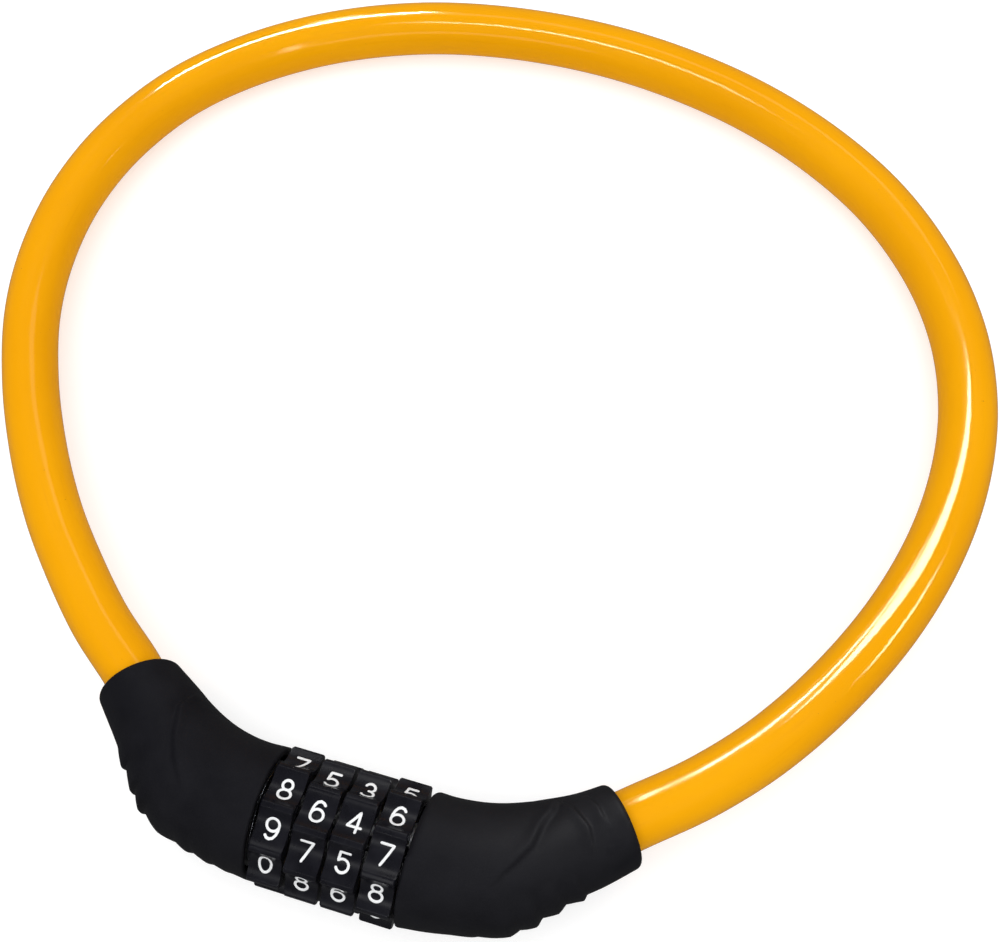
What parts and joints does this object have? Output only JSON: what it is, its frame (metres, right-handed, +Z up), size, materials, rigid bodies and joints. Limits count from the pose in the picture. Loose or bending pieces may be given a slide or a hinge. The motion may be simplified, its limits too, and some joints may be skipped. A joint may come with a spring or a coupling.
{
  "type": "cable lock",
  "caption": "Combination cable lock: a plastic-covered steel cable in a closed loop, its ends joined by a number-wheel lock head between two rubber elbow covers.",
  "frame": {"origin": "on the table, under the middle of the lock head (the cable left out)", "axes": "+X along the number wheels' axis, from the fixed half to the half that pulls off; +Y from the lock head across the cable's loop; +Z up, away from the table"},
  "size_m": [0.2204, 0.2097, 0.0281],
  "materials": {
    "cover_rubber": "soft matt moulded rubber, black",
    "core_plastic": "moulded nylon, black",
    "wheel_plastic": "polished ABS, black, white numerals",
    "jacket_pvc": "glossy translucent PVC, orange",
    "strand_steel": "twisted galvanised wire",
    "brass": "turned, satin",
    "die_cast_zinc": "die-cast zinc, satin",
    "spring_steel": "bright spring wire",
    "steel": "turned, zinc plated"
  },
  "bodies": {
    "lock_body": {"body_cover": "cover_rubber", "body_core": "core_plastic", "barrel": "die_cast_zinc", "dial_washer": "steel", "dial_spring": "spring_steel", "retaining_ring": "spring_steel", "barrel_cross_pin": "steel", "body_ferrule": "steel", "body_ferrule_pin": "steel", "cable_jacket": "jacket_pvc", "cable_core": "strand_steel", "detent_ball_1": "steel", "detent_ball_2": "steel", "detent_ball_3": "steel", "detent_ball_4": "steel", "detent_spring_1": "spring_steel", "detent_spring_2": "spring_steel", "detent_spring_3": "spring_steel", "detent_spring_4": "spring_steel"},
    "wheel_1": {"dial_1": "wheel_plastic", "clutch_ring_1": "brass"},
    "wheel_2": {"dial_2": "wheel_plastic", "clutch_ring_2": "brass"},
    "wheel_3": {"dial_3": "wheel_plastic", "clutch_ring_3": "brass"},
    "wheel_4": {"dial_4": "wheel_plastic", "clutch_ring_4": "brass"},
    "collar": {"reset_collar": "die_cast_zinc"},
    "plug": {"plug_cover": "cover_rubber", "plug_core": "core_plastic", "locking_pin": "steel", "plug_washer": "steel", "lock_pin_cross_pin": "steel", "plug_ferrule": "steel", "plug_ferrule_pin": "steel"}
  },
  "joints": [
    {"name": "dial_1_turn", "type": "hinge", "parent": "lock_body", "child": "wheel_1", "pos_m": [-0.0115, -0.0045, 0.0139], "axis": [1, 0, 0], "continuous": true},
    {"name": "dial_2_turn", "type": "hinge", "parent": "lock_body", "child": "wheel_2", "pos_m": [-0.0042, -0.0045, 0.0139], "axis": [1, 0, 0], "continuous": true},
    {"name": "dial_3_turn", "type": "hinge", "parent": "lock_body", "child": "wheel_3", "pos_m": [0.0031, -0.0045, 0.0139], "axis": [1, 0, 0], "continuous": true},
    {"name": "dial_4_turn", "type": "hinge", "parent": "lock_body", "child": "wheel_4", "pos_m": [0.0104, -0.0045, 0.0139], "axis": [1, 0, 0], "continuous": true},
    {"name": "reset_turn", "type": "hinge", "parent": "lock_body", "child": "collar", "pos_m": [0.01685, -0.0045, 0.0139], "axis": [1, 0, 0], "range_deg": [0, 90]},
    {"name": "plug_slide", "type": "slide", "parent": "lock_body", "child": "plug", "axis": [1, 0, 0], "range_m": [0, 0.04], "deforming": ["cable_jacket", "cable_core"]}
  ]
}
